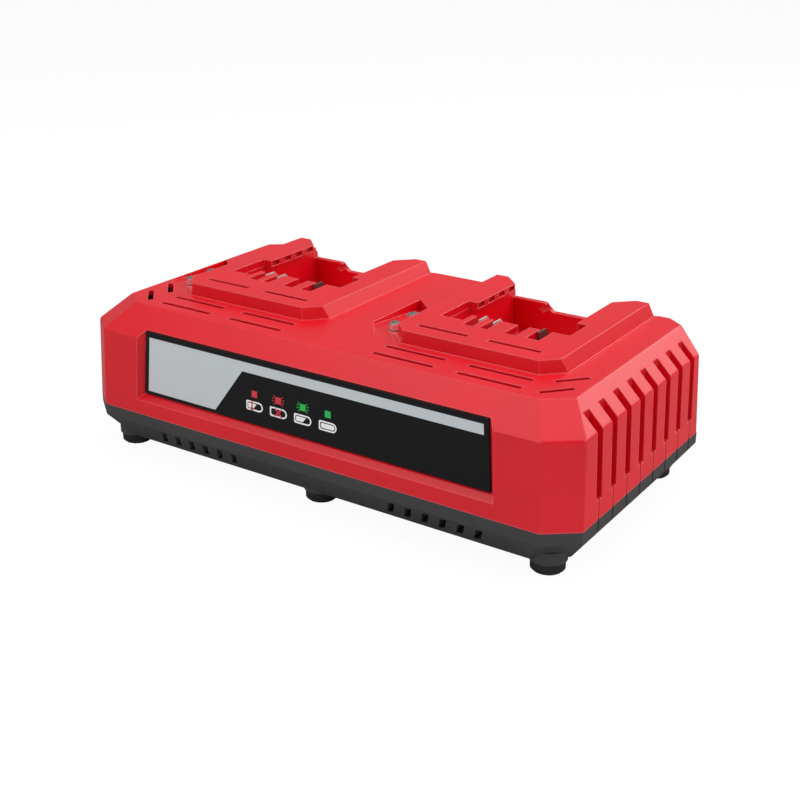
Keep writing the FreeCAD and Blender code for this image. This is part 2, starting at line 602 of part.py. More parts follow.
def top_housing():
    body = hood_body()
    rim = [e for e in body.Edges if min(v.Z for v in e.Vertexes) > SEAM_Z + 1
           or abs(e.Vertexes[0].Z - e.Vertexes[1].Z) > 1]
    rounded = body.makeFillet(EDGE_ROUND, rim)
    shell = rounded.cut(hood_body(WALL, WALL))
    pads = []
    for sign in (-1, 1):
        a, b = sorted((sign * (HALF_LENGTH - DRAFT - GROOVE_DEPTH - WALL), sign * HALF_LENGTH))
        reach = (GROOVE_COUNT - 1) / 2 * GROOVE_PITCH + GROOVE_WIDTH / 2 + WALL
        pads.append(box(a, b, GROOVE_CENTRE_Y - reach, GROOVE_CENTRE_Y + reach, SEAM_Z + WALL, DECK_Z))
    pads.append(leaned(front_prism(panel_outline(RECESS_SLOPE + WALL), -HALF_WIDTH,
                                   -HALF_WIDTH + RECESS_DEPTH + WALL)))
    pads.append(inlet_pad(SEAM_Z, SEAM_Z + INLET_FLANGE + WALL))
    blocks = []
    gutters = []
    for x in DOCK_CENTRES.values():
        pads.append(ramp_floor(x))
        block, foot = dock_block(x)
        blocks.append(block)
        gutters.append(gutter(x, block, foot))
    for sx, sy in SCREW_PLACES:
        pads.append(rod(sx, sy, BOSS_JOINT_Z, DECK_Z, BOSS_RADIUS))
    inside = [pad.common(rounded) for pad in pads]
    shell = shell.fuse(inside)
    shell = shell.cut(gutters)
    shell = shell.fuse(blocks)
    shell = shell.cut([h for x in DOCK_CENTRES.values() for h in dock_hollows(x)])
    posts = []
    for x in DOCK_CENTRES.values():
        for px, py in DOCK_POSTS:
            if py < BAY_FRONT_Y:
                posts.append(rod(x + px, py, DOCK_BOARD_Z + BOARD_THICKNESS, DOCK_TOP_Z - WALL, POST_RADIUS))
        for ex, ey in ear_places(x):
            posts.append(rod(ex, ey, TRAY_EAR_Z + WALL, LIP_UNDER_Z, TRAY_POST_RADIUS))
    shell = shell.fuse(posts)
    cuts = hood_vents() + side_grooves() + [panel_recess(), inlet_space()]
    for x in DOCK_CENTRES.values():
        cuts += dock_cuts(x)
        cuts.append(ramp_cut(x))
        for y in LIGHT_YS:
            cuts.append(rod(x + LIGHT_X, y, SHOULDER_Z, DECK_Z, LIGHT_RADIUS + LIGHT_GAP))
        cuts += [screw_bore(x + px, py) for px, py in DOCK_POSTS if py < BAY_FRONT_Y]
        tip = TRAY_EAR_Z + SMALL_SCREW_LENGTH + 0.5
        cuts += [rod(ex, ey, TRAY_EAR_Z, tip, SMALL_SCREW_RADIUS + 0.05) for ex, ey in ear_places(x)]
    for sx, sy in SCREW_PLACES:
        tip = SCREW_SEAT_Z + SCREW_LENGTH
        cuts.append(rod(sx, sy, BOSS_JOINT_Z - 1, tip + 2, SCREW_RADIUS + 0.05))
    shell = shell.cut(cuts)
    core = hood_body(LINE_DEPTH, LINE_DEPTH)
    shell = shell.cut(fine_lines(core, SEAM_Z - 1, GROOVE_BOTTOM_Z + 1))
    return shell.removeSplitter()


def base_vents():
    """Slanted vents through the lower front edge of the base."""
    cuts = []
    middle = (BASE_VENT_COUNT - 1) / 2
    for side in (-1, 1):
        for i in range(BASE_VENT_COUNT):
            x = side * BASE_VENT_CENTRE_X + (i - middle) * BASE_VENT_PITCH
            shift = (BASE_VENT_HIGH_Z - BASE_VENT_LOW_Z) * math.tan(math.radians(BASE_VENT_LEAN))
            half = BASE_VENT_WIDTH / 2
            points = [(x - half, BASE_VENT_LOW_Z), (x + half, BASE_VENT_LOW_Z),
                      (x + half + shift, BASE_VENT_HIGH_Z), (x - half + shift, BASE_VENT_HIGH_Z)]
            cuts.append(front_prism(points, -HALF_WIDTH - 1, -HALF_WIDTH + BASE_TUCK + WALL))
    return cuts


def foot_places():
    places = {}
    for depth, y in (("front", -FOOT_Y), ("rear", FOOT_Y)):
        for side, x in (("left", -FOOT_SPACING_X), ("middle", 0.0), ("right", FOOT_SPACING_X)):
            places[depth + "_" + side] = (x, y)
    return places


def board_posts():
    x = BOARD_HALF_LENGTH - 2 * POST_RADIUS
    y = BOARD_HALF_WIDTH - 2 * POST_RADIUS
    return [(-x, -y), (x, -y), (x, y), (-x, y)]


def tongue():
    """Low rim inside the seam that locates the hood on the base."""
    inner = WALL + FIT_GAP + TONGUE_THICKNESS
    pieces = []
    for inset, z0, z1 in ((WALL / 2, SEAM_Z - WALL, SEAM_Z), (WALL + FIT_GAP, SEAM_Z - WALL,
                                                              SEAM_Z + TONGUE_HEIGHT)):
        rim = Part.Face(seam_outline(z0, inset)).extrude(Vector(0, 0, z1 - z0))
        pieces.append(rim.cut(Part.Face(seam_outline(z0 - 1, inner)).extrude(Vector(0, 0, z1 - z0 + 2))))
    reach = INLET_FLANGE + 2 * WALL
    gap = box(INLET_X - reach, INLET_X + reach, 0, HALF_WIDTH, SEAM_Z - 2 * WALL, SEAM_Z + 2 * WALL)
    return [piece.cut(gap) for piece in pieces]


def base_housing():
    body = base_body()
    shell = body.cut(base_body(WALL, WALL))
    adds = [inlet_pad(BASE_BAND_Z - WALL, SEAM_Z).common(body)]
    for x, y in foot_places().values():
        adds.append(rod(x, y, FOOT_HEIGHT, FLOOR_TOP_Z + WALL, FOOT_RADIUS + FOOT_BOSS_MARGIN))
    for x, y in SCREW_PLACES:
        adds.append(rod(x, y, BASE_Z, BOSS_JOINT_Z - FIT_GAP, BOSS_RADIUS))
    for x, y in board_posts():
        adds.append(rod(x, y, BASE_Z, BOARD_Z, POST_RADIUS))
    adds += tongue()
    shell = shell.fuse(adds)
    cuts = base_vents() + [inlet_space()]
    for x, y in SCREW_PLACES:
        cuts.append(rod(x, y, BASE_Z - 1, SCREW_SEAT_Z, SCREW_HEAD_RADIUS + 0.2))
        cuts.append(rod(x, y, SCREW_SEAT_Z - 1, BOSS_JOINT_Z + 1, SCREW_RADIUS + FIT_GAP))
    for x, y in board_posts():
        cuts.append(rod(x, y, BOARD_Z - SMALL_SCREW_LENGTH, BOARD_Z + 1, SMALL_SCREW_RADIUS + 0.05))
    for x, y in foot_places().values():
        cuts.append(rod(x, y, 0, FLOOR_TOP_Z + 2 * WALL, FOOT_STEM_RADIUS + FIT_GAP))
    shell = shell.cut(cuts)
    core = base_body(LINE_DEPTH, LINE_DEPTH)
    return shell.cut(fine_lines(core, BASE_Z - 1, SEAM_Z)).removeSplitter()


def foot(x, y):
    """Push-in rubber foot with a barbed stem."""
    seat = FLOOR_TOP_Z + WALL
    stem = FOOT_STEM_RADIUS
    profile = [(0, 0), (FOOT_RADIUS - 1, 0), (FOOT_RADIUS, 1), (FOOT_RADIUS, FOOT_HEIGHT),
               (stem, FOOT_HEIGHT), (stem, seat + FIT_GAP), (stem + 0.8, seat + FIT_GAP),
               (stem - 0.6, seat + 3), (0, seat + 3)]
    return turned(profile, x, y)


def screw(x, y, seat_z, length, radius, head_radius, head_height, up=True):
    """Pan-head screw; its head bears on seat_z and its shank points up or down."""
    sign = 1 if up else -1
    profile = [(0, seat_z - sign * head_height), (head_radius * 0.75, seat_z - sign * head_height),
               (head_radius, seat_z), (radius, seat_z), (radius, seat_z + sign * (length - radius)),
               (0, seat_z + sign * length)]
    return turned(profile, x, y)


def housing_screws():
    return [screw(x, y, SCREW_SEAT_Z, SCREW_LENGTH, SCREW_RADIUS, SCREW_HEAD_RADIUS, SCREW_HEAD_HEIGHT)
            for x, y in SCREW_PLACES]


def main_board():
    board = box(-BOARD_HALF_LENGTH, BOARD_HALF_LENGTH, -BOARD_HALF_WIDTH, BOARD_HALF_WIDTH,
                BOARD_Z, BOARD_Z + BOARD_THICKNESS)
    return board.cut([rod(x, y, BOARD_Z - 1, BOARD_Z + 3, SMALL_SCREW_RADIUS + FIT_GAP)
                      for x, y in board_posts()])


def main_board_screws():
    z = BOARD_Z + BOARD_THICKNESS
    return [screw(x, y, z, SMALL_SCREW_LENGTH, SMALL_SCREW_RADIUS, SMALL_HEAD_RADIUS, SMALL_HEAD_HEIGHT, False)
            for x, y in board_posts()]


def dock_board(x):
    board = box(x + DOCK_BOARD_LEFT, x + DOCK_BOARD_RIGHT, DOCK_BOARD_FRONT, DOCK_BOARD_REAR,
                DOCK_BOARD_Z, DOCK_BOARD_Z + BOARD_THICKNESS)
    return board.cut([rod(x + px, py, DOCK_BOARD_Z - 1, DOCK_BOARD_Z + 3, SMALL_SCREW_RADIUS + FIT_GAP)
                      for px, py in DOCK_POSTS])


def dock_board_screws():
    """Small screws that hold the dock boards to their posts and the trays to the hood."""
    places = []
    for x in DOCK_CENTRES.values():
        places += [(x + px, py, DOCK_BOARD_Z) for px, py in DOCK_POSTS]
        places += [(ex, ey, TRAY_EAR_Z) for ex, ey in ear_places(x)]
    return [screw(px, py, z, SMALL_SCREW_LENGTH, SMALL_SCREW_RADIUS, SMALL_HEAD_RADIUS, SMALL_HEAD_HEIGHT)
            for px, py, z in places]


def blade(x, bx):
    """Flat contact blade with a bevelled top, standing on the dock board."""
    low = DOCK_BOARD_Z + BOARD_THICKNESS
    y0 = BLADE_FRONT_Y
    y1 = BLADE_FRONT_Y + BLADE_DEPTH
    bevel = BLADE_DEPTH * 0.35
    points = [(y0, low), (y1, low), (y1, BLADE_TOP_Z - bevel), (y1 - bevel, BLADE_TOP_Z), (y0, BLADE_TOP_Z)]
    return side_prism(points, x + bx - BLADE_THICKNESS / 2, x + bx + BLADE_THICKNESS / 2)


def terminal_block(x):
    """Moulded block under the bay floor that holds the three blades upright."""
    low = DOCK_BOARD_Z + BOARD_THICKNESS
    high = BAY_FLOOR_Z - WALL - 0.2
    margin = 3.5
    front = BLADE_FRONT_Y - margin
    rear = BLADE_FRONT_Y + BLADE_DEPTH + margin
    left = x + BLADE_XS[0] - margin
    right = x + BLADE_XS[-1] + margin
    block = box(left, right, front, rear, low, high)
    gap = 0.05
    cuts = []
    for bx in BLADE_XS:
        half = BLADE_THICKNESS / 2 + gap
        cuts.append(box(x + bx - half, x + bx + half, BLADE_FRONT_Y - gap, BLADE_FRONT_Y + BLADE_DEPTH + gap,
                        low - 1, high + 1))
    for a, b in zip(BLADE_XS, BLADE_XS[1:]):
        cuts.append(box(x + (a + b) / 2 - 0.8, x + (a + b) / 2 + 0.8, front, rear, high - 2, high + 1))
    return block.cut(cuts)


def light_pipe(x, y):
    """Clear pin that carries a lamp's light up to the deck, with a domed top and a collar."""
    low = DOCK_BOARD_Z + BOARD_THICKNESS + 3.6
    collar = DECK_Z - RAMP_DROP - WALL - 0.1
    r = LIGHT_RADIUS
    rise = LIGHT_TOP_Z - LIGHT_DOME
    flange = r + LIGHT_FLANGE
    return turned([(0, low), (r, low), (r, collar - LIGHT_FLANGE), (flange, collar - LIGHT_FLANGE),
                   (flange, collar), (r, collar), (r, rise), (r * 0.8, LIGHT_TOP_Z - LIGHT_DOME * 0.35),
                   (r * 0.4, LIGHT_TOP_Z), (0, LIGHT_TOP_Z)], x, y)


def status_lamp(x, y):
    low = DOCK_BOARD_Z + BOARD_THICKNESS
    return turned([(0, low), (1.9, low), (1.9, low + 0.8), (1.5, low + 0.8), (1.5, low + 2.2),
                   (0.9, low + 3.1), (0, low + 3.3)], x, y)


def dock_leads(x):
    return [rod(x + LEAD_START_X + LEAD_PITCH * i, LEAD_Y, BOARD_TOP_Z, DOCK_BOARD_Z, LEAD_RADIUS)
            for i in range(len(BLADE_XS))]


def centred_box(x, y, length, width, z, height):
    """Box that stands at z, centred at x and y."""
    return box(x - length / 2, x + length / 2, y - width / 2, y + width / 2, z, z + height)


def transformer_core():
    """Double-E ferrite core with its two windows open."""
    low = BOARD_TOP_Z + CORE_LIFT
    outer = centred_box(CORE_X, 0, CORE_LENGTH, CORE_DEPTH, low, CORE_HEIGHT)
    window = (CORE_LENGTH - CORE_MIDDLE_LEG) / 2 - CORE_SIDE_LEG
    away = (CORE_MIDDLE_LEG + window) / 2
    return outer.cut([centred_box(CORE_X + side * away, 0, window, CORE_DEPTH + 1, low + CORE_YOKE,
                                  CORE_HEIGHT - 2 * CORE_YOKE) for side in (-1, 1)])


def transformer_winding():
    """Bobbin with its winding, round the middle leg of the core."""
    low = BOARD_TOP_Z + CORE_LIFT + CORE_YOKE + 0.2
    height = CORE_HEIGHT - 2 * CORE_YOKE - 0.4
    width = CORE_LENGTH - 2 * CORE_SIDE_LEG - 0.4
    coil = centred_box(CORE_X, 0, width, COIL_DEPTH, low, height)
    edges = [e for e in coil.Edges if abs(e.Vertexes[0].Z - e.Vertexes[1].Z) > 1]
    coil = coil.makeFillet(CORE_YOKE, edges)
    ends = [centred_box(CORE_X, 0, width, COIL_DEPTH + 2, z, COIL_FLANGE)
            for z in (low, low + height - COIL_FLANGE)]
    foot_y = COIL_DEPTH / 2 - 2
    feet = [centred_box(CORE_X, side * foot_y, width, CORE_YOKE, BOARD_TOP_Z, low - BOARD_TOP_Z + 0.5)
            for side in (-1, 1)]
    hole = CORE_MIDDLE_LEG + 0.4
    return joined(coil, ends + feet).cut(centred_box(CORE_X, 0, hole, hole, low - 1, height + 2))


def can(x, y, radius, height):
    """Electrolytic capacitor: crimped can standing on the board."""
    z = BOARD_TOP_Z
    waist = z + 3 * CAN_CRIMP
    return turned([(0, z), (radius, z), (radius, waist), (radius - CAN_CRIMP, waist + CAN_CRIMP),
                   (radius, waist + 2 * CAN_CRIMP), (radius, z + height), (0, z + height)], x, y)


def heat_sink(x):
    """Upright aluminium plate with fins to one side."""
    z = BOARD_TOP_Z
    half = SINK_HALF_WIDTH
    plate = box(x, x + SINK_PLATE, -half, half, z, z + SINK_HEIGHT)
    pitch = (2 * half - FIN_THICKNESS) / (FIN_COUNT - 1)
    fins = [box(x + SINK_PLATE, x + SINK_REACH, -half + pitch * i, -half + pitch * i + FIN_THICKNESS, z,
                z + SINK_HEIGHT) for i in range(FIN_COUNT)]
    return joined(plate, fins)


def power_device(x, y):
    """Flat power device on three legs, with its back to a heat sink at x."""
    z = BOARD_TOP_Z
    middle = x - 0.1 - DEVICE_THICKNESS / 2
    body = centred_box(middle, y, DEVICE_THICKNESS, DEVICE_WIDTH, z + DEVICE_LIFT, DEVICE_HEIGHT)
    legs = [centred_box(middle, y + i * LEG_PITCH, LEG_WIDTH, LEG_WIDTH, z, DEVICE_LIFT + 1)
            for i in (-1, 0, 1)]
    return joined(body, legs)


def ring(radius, section, x, y, z):
    """Wound ring with an eight-sided section."""
    profile = []
    for i in range(8):
        angle = math.pi / 8 + i * math.pi / 4
        profile.append((radius + section * math.cos(angle), z + section * math.sin(angle)))
    return turned(profile, x, y)


def mains_choke():
    height = BOARD_TOP_Z + CHOKE_SEAT_HEIGHT / 2 + CHOKE_SECTION
    return ring(CHOKE_RADIUS, CHOKE_SECTION, CHOKE_X, CHOKE_Y, height)


def mains_choke_seat():
    seat = rod(CHOKE_X, CHOKE_Y, BOARD_TOP_Z, BOARD_TOP_Z + CHOKE_SEAT_HEIGHT, CHOKE_SEAT_RADIUS)
    return seat.cut(mains_choke())


def suppression_capacitor():
    length, width, height = BOX_CAP_SIZE
    return centred_box(BOX_CAP_X, BOX_CAP_Y, length, width, BOARD_TOP_Z, height)


def rectifier():
    length, width, height = RECTIFIER_SIZE
    body = centred_box(RECTIFIER_X, RECTIFIER_Y, length, width, BOARD_TOP_Z + CORE_LIFT, height)
    legs = [centred_box(RECTIFIER_X, RECTIFIER_Y + (i - 1.5) * LEG_PITCH, LEG_WIDTH, LEG_WIDTH, BOARD_TOP_Z,
                        CORE_LIFT + 1) for i in range(4)]
    return joined(body, legs)


def fuse_tube(radius):
    z = BOARD_TOP_Z + CLIP_HEIGHT - 1
    return Part.makeCylinder(radius, FUSE_LENGTH, Vector(FUSE_X, FUSE_Y - FUSE_LENGTH / 2, z), Vector(0, 1, 0))


def fuse_clips():
    away = FUSE_LENGTH / 2 - CLIP_LENGTH / 2 - 0.7
    return [centred_box(FUSE_X, FUSE_Y + side * away, CLIP_WIDTH, CLIP_LENGTH, BOARD_TOP_Z,
                        CLIP_HEIGHT).cut(fuse_tube(FUSE_RADIUS + 0.05)) for side in (-1, 1)]


def export(name, solids):
    shape = solids[0] if len(solids) == 1 else Part.makeCompound(solids)
    shape.exportStep("parts/" + name + ".step")
    print(name, len(shape.Solids), round(shape.Volume, 1), shape.isValid())


def build():
    export("top_housing", [top_housing()])
    export("base_housing", [base_housing()])
    export("indicator_panel", [indicator_panel()])
    for name, (x, y) in foot_places().items():
        export("foot_" + name, [foot(x, y)])
    export("housing_screws", housing_screws())
    export("cord_inlet", [cord_inlet()])
    for side, x in DOCK_CENTRES.items():
        export(side + "_battery_tray", [battery_tray(x)])
        export(side + "_dock_board", [dock_board(x)])
        export(side + "_terminal_block", [terminal_block(x)])
        for label, bx in zip(("positive", "sensor", "negative"), BLADE_XS):
            export(side + "_" + label + "_blade", [blade(x, bx)])
        for label, y in zip(("charging", "ready"), LIGHT_YS):
            export(side + "_" + label + "_light_pipe", [light_pipe(x + LIGHT_X, y)])
        export(side + "_status_lamps", [status_lamp(x + LIGHT_X, y) for y in LIGHT_YS])
        export(side + "_dock_leads", dock_leads(x))
    export("dock_board_screws", dock_board_screws())
    export("main_board", [main_board()])
    export("main_board_screws", main_board_screws())
    export("transformer_core", [transformer_core()])
    export("transformer_winding", [transformer_winding()])
    export("mains_capacitor", [can(*MAINS_CAN)])
    export("output_capacitors", [can(OUTPUT_CAN_X, y, OUTPUT_CAN_RADIUS, OUTPUT_CAN_HEIGHT)
                                 for y in OUTPUT_CAN_YS])
    export("primary_heat_sink", [heat_sink(SINK_XS[0])])
    export("output_heat_sink", [heat_sink(SINK_XS[1])])
    export("switching_transistor", [power_device(SINK_XS[0], TRANSISTOR_Y)])
    export("output_diodes", [power_device(SINK_XS[1], y) for y in DIODE_YS])
    export("mains_choke", [mains_choke()])
    export("mains_choke_seat", [mains_choke_seat()])
    export("suppression_capacitor", [suppression_capacitor()])
    export("bridge_rectifier", [rectifier()])
    export("fuse", [fuse_tube(FUSE_RADIUS)])
    export("fuse_clips", fuse_clips())


build()
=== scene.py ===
"""Two-bay battery charger in its moulded finishes, on a plain pale floor."""
import math

import bmesh
import bpy
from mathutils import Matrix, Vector


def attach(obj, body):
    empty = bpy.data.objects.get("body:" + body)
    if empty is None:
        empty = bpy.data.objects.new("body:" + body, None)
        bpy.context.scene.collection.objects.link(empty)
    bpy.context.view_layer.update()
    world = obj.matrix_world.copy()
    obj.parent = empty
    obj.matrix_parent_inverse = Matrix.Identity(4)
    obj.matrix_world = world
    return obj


bl_info = {
    "name": "Two-bay battery charger",
    "version": (1, 0, 0),
    "blender": (4, 5, 0),
    "location": "3D View > Sidebar > Charger",
    "description": "Dresses the packed charger: shells, panel print, light pipes, contacts, boards and stage",
    "category": "Object",
}

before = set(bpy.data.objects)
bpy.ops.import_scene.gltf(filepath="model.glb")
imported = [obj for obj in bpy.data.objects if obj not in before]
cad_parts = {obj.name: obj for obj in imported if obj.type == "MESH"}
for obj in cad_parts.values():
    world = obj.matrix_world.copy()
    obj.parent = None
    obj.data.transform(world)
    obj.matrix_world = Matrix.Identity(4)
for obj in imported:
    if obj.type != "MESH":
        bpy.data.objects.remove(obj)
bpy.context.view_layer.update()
BODY = "root"
MM = 0.001
SIDES = ("left", "right")
FOOT_PLACES = ("front_left", "front_middle", "front_right", "rear_left", "rear_middle", "rear_right")

# Painted edge highlights: rays of the bevel, width in metres, and the cosines where the painted highlight
# starts and where it is full
BEVEL_SAMPLES = 6
EDGE_WIDTH = 0.0009
EDGE_STARTS = 0.995
EDGE_FULL = 0.86

# Outputs of the Light Path node
CAMERA_RAY = 0
GLOSSY_RAY = 3
TRANSMISSION_RAY = 6

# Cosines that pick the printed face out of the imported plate
FACES_FRONT = 0.9
SAME_PLANE = 0.999


class Socket:
    """A shader socket that takes part in Python expressions."""

    def __init__(self, shading, link):
        self.shading = shading
        self.link = link

    def maths(self, operation, *values):
        return self.shading.node("ShaderNodeMath", {"operation": operation}, dict(enumerate(values)))

    def __add__(self, other):
        return self.maths("ADD", self, other)

    def __sub__(self, other):
        return self.maths("SUBTRACT", self, other)

    def __rsub__(self, other):
        return self.maths("SUBTRACT", other, self)

    def __mul__(self, other):
        return self.maths("MULTIPLY", self, other)

    __radd__ = __add__
    __rmul__ = __mul__


class Shading:
    """The nodes of one material or world."""

    def __init__(self, owner):
        owner.use_nodes = True
        self.tree = owner.node_tree
        self.tree.nodes.clear()

    def node(self, kind, settings=None, inputs=None, output=0):
        """Add any node: its settings come first, then the values or links of its sockets."""
        made = self.tree.nodes.new(kind)
        for key, value in (settings or {}).items():
            setattr(made, key, value)
        for key, value in (inputs or {}).items():
            self.feed(made.inputs[key], value)
        return Socket(self, made.outputs[output]) if len(made.outputs) else None

    def feed(self, target, value):
        if isinstance(value, Socket):
            self.tree.links.new(value.link, target)
        elif isinstance(value, tuple) and len(value) == 3 and target.type == "RGBA":
            target.default_value = (*value, 1.0)
        else:
            target.default_value = value

    def ramp(self, value, low, high, start=0.0, end=1.0):
        """Run a value from start at low to end at high."""
        return self.node("ShaderNodeMapRange", {"clamp": True}, {0: value, 1: low, 2: high, 3: start, 4: end})

    def ray(self, kind):
        """1 for rays of one kind and 0 for all others."""
        return self.node("ShaderNodeLightPath", output=kind)

    def seen(self):
        """1 to the eye and through clear pieces, 0 in reflections and as light."""
        rays = {0: self.ray(CAMERA_RAY), 1: self.ray(TRANSMISSION_RAY)}
        return self.node("ShaderNodeMath", {"operation": "MAXIMUM"}, rays)


class Finish(Shading):
    """One material, and the looks that several of them share."""

    def __init__(self, name):
        self.material = bpy.data.materials.new(name)
        super().__init__(self.material)

    def blend(self, factor, first, second):
        """Mix two colours; either may be a tuple or a link."""
        return self.node("ShaderNodeMix", {"data_type": "RGBA"}, {0: factor, 6: first, 7: second}, 2)

    def place(self):
        return self.node("ShaderNodeTexCoord", output=3)

    def noise(self, scale, detail, rough=0.5, where=None):
        inputs = {"Vector": where or self.place(), "Scale": scale, "Detail": detail, "Roughness": rough}
        return self.node("ShaderNodeTexNoise", None, inputs)

    def edges(self, width):
        """0 on flat stretches and near 1 along edges, from the bevelled normal."""
        soft = self.node("ShaderNodeBevel", {"samples": BEVEL_SAMPLES}, {"Radius": width})
        normal = self.node("ShaderNodeNewGeometry", output=1)
        cosine = self.node("ShaderNodeVectorMath", {"operation": "DOT_PRODUCT"}, {0: soft, 1: normal}, 1)
        return self.ramp(cosine, EDGE_STARTS, EDGE_FULL)

    def bump(self, height, distance, strength, normal=None):
        inputs = {"Height": height, "Distance": distance, "Strength": strength}
        if normal is not None:
            inputs["Normal"] = normal
        return self.node("ShaderNodeBump", None, inputs)

    def close(self, **inputs):
        """Finish with the surface shader, whose socket names come with underscores for spaces."""
        named = {key.replace("_", " "): value for key, value in inputs.items()}
        shader = self.node("ShaderNodeBsdfPrincipled", None, named)
        self.node("ShaderNodeOutputMaterial", None, {"Surface": shader})
        return self.material


def linear(red, green, blue):
    """Display colour to the linear colour that a shader takes."""
    return tuple(c / 12.92 if c <= 0.04045 else ((c + 0.055) / 1.055) ** 2.4 for c in (red, green, blue))


# Colours as they show in good light
WHITE = (1.0, 1.0, 1.0)
RED = linear(0.92, 0.02, 0.12)
DARK_GREY = linear(0.28, 0.275, 0.28)
RUBBER = linear(0.165, 0.16, 0.165)
PANEL_BLACK = linear(0.10, 0.10, 0.105)
PANEL_GREY = linear(0.82, 0.845, 0.86)
LEGEND_WHITE = linear(1.0, 1.0, 1.0)
LEGEND_RED = linear(0.87, 0.25, 0.29)
LEGEND_GREEN = linear(0.22, 0.76, 0.36)
NICKEL = linear(0.94, 0.92, 0.89)
BOARD_GREEN = linear(0.10, 0.36, 0.20)

# Camera: metres, degrees, and the photo's focal length and width in pixels over a sensor in millimetres
CAMERA_PLACE = (0.32613, -0.47562, 0.26974)
CAMERA_AZIMUTH = 33.863
CAMERA_ELEVATION = 22.613
FOCAL_PIXELS = 1282.75
FRAME_PIXELS = 800
SENSOR = 36.0
CLIP_END = 100.0

# Soft boxes: name, place and size in metres, and watts; all of them face the middle
MIDDLE = (0.0, 0.0, 0.04)
SOFT_BOXES = (
    ("top_box", (-0.10, 0.10, 1.1), (1.6, 1.1), 7.6),
    ("right_box", (1.15, 0.10, 0.75), (0.8, 1.0), 5.6),
    ("back_box", (0.50, 1.00, 0.70), (0.8, 0.6), 5.0),
    ("front_box", (-0.35, -1.1, 0.75), (1.0, 0.5), 5.0),
)

# Floor and world: metres, colours and strengths
FLOOR_HALF_SIZE = 20.0
FLOOR_HEIGHT = -0.0002
FLOOR_WHITE = (0.86, 0.86, 0.86)
FLOOR_MIRRORED = (0.32, 0.32, 0.32)
FLOOR_GLOW = 1.05
FLOOR_GLOW_SHARE = 0.9
WORLD_LIGHT = 0.20
WORLD_MIRRORED = 0.34
WORLD_SEEN = 1.0

# Panel print, in millimetres across and up the panel
PANEL_BORDER = 2.3
FIELD_LOW = 1.7
FIELD_TOP_MARGIN = 2.6
STRIPE_HEIGHT = 4.7
SLANT_LOW_U = -51.4
SLANT_TOP_U = -34.6

# Legend print, in millimetres and degrees: battery symbols, lamp squares, rays, cross and thermometer
SYMBOL_LENGTH = 9.7
SYMBOL_HEIGHT = 4.6
SYMBOL_LINE = 0.72
SYMBOL_CORNER = 0.5
SYMBOL_GAP = 0.45
ROUND_STEPS = 8
LOW_FILL = 0.3
HALF_FILL = 0.9
FILL_SLANT = 0.9
LAMP_SIDE = 3.2
RAY_ANGLES = (-42, -14, 14, 42, 138, 166, 194, 222)
RAY_REACH = 2.9
RAY_SQUASH = 0.9
RAY_LENGTH = 1.3
RAY_WIDTH = 0.34
CROSS_ANGLE = 42
CROSS_LENGTH = 5.6
CROSS_WIDTH = 0.8
STEM_SHIFT = -1.4
STEM_RISE = 0.3
STEM_LENGTH = 4.4
STEM_WIDTH = 0.7
BULB_SIZE = 1.5
BULB_DROP = 1.5
OVERPRINT = 0.1


def shaded(colour, factor, lift=0.0):
    """A colour made deeper or paler by a factor, then lifted towards white."""
    return tuple(min(1.0, c * factor + lift) for c in colour)


def grain(finish, size=0.00035, depth=0.000012, edge=0.0005):
    """Fine moulded texture over softly rounded edges."""
    soft = finish.node("ShaderNodeBevel", {"samples": BEVEL_SAMPLES}, {"Radius": edge})
    return finish.bump(finish.noise(scale=1 / size, detail=2.0), distance=depth, strength=0.6, normal=soft)


def red_plastic(colour):
    finish = Finish("moulded_red")
    patch = finish.noise(scale=22.0, detail=2.0)
    fine = finish.noise(scale=900.0, detail=2.0)
    # Painted highlight: along every edge, convex and concave, the red turns paler and whiter and a little
    # less rough
    painted_edge_highlight = finish.edges(EDGE_WIDTH)
    paler = shaded(colour, factor=1.1, lift=0.17)
    deeper = shaded(colour, factor=0.93)
    base = finish.blend(finish.ramp(patch, low=0.35, high=0.65), deeper, colour)
    base = finish.blend(painted_edge_highlight * (0.5 + fine * 0.4), base, paler)
    rough = 0.30 + finish.ramp(patch, low=0.3, high=0.7) * 0.06 + fine * 0.05 - painted_edge_highlight * 0.06
    return finish.close(Base_Color=base, Roughness=rough, Normal=grain(finish), IOR=1.5)


def grey_plastic(colour):
    finish = Finish("moulded_dark_grey")
    patch = finish.noise(scale=30.0, detail=3.0)
    # Painted highlight: along every edge, convex and concave, the grey turns paler
    painted_edge_highlight = finish.edges(EDGE_WIDTH)
    paler = shaded(colour, factor=1.6, lift=0.01)
    deeper = shaded(colour, factor=0.85)
    base = finish.blend(finish.ramp(patch, low=0.3, high=0.7), deeper, colour)
    base = finish.blend(painted_edge_highlight * 0.5, base, paler)
    return finish.close(Base_Color=base, Roughness=0.46 + patch * 0.12, IOR=1.5, Specular_IOR_Level=0.35,
                        Normal=grain(finish, size=0.0006, depth=0.00002))


def foot_rubber(colour):
    finish = Finish("foot_rubber")
    patch = finish.noise(scale=160.0, detail=4.0)
    dusty = shaded(colour, factor=1.9, lift=0.006)
    base = finish.blend(finish.ramp(patch, low=0.5, high=0.8) * 0.5, colour, dusty)
    return finish.close(Base_Color=base, Roughness=0.62 + patch * 0.2, Specular_IOR_Level=0.3,
                        Normal=grain(finish, size=0.0004, depth=0.00002))


def printed(name, colour, rough):
    """Flat print under a clear film."""
    finish = Finish(name)
    fine = finish.noise(scale=1400.0, detail=2.0)
    wave = finish.noise(scale=35.0, detail=1.0)
    base = finish.blend(fine * 0.25, colour, shaded(colour, factor=0.86))
    return finish.close(Base_Color=base, Roughness=rough + wave * 0.08, IOR=1.5, Specular_IOR_Level=0.2,
                        Normal=finish.bump(wave, distance=0.00004, strength=0.3))


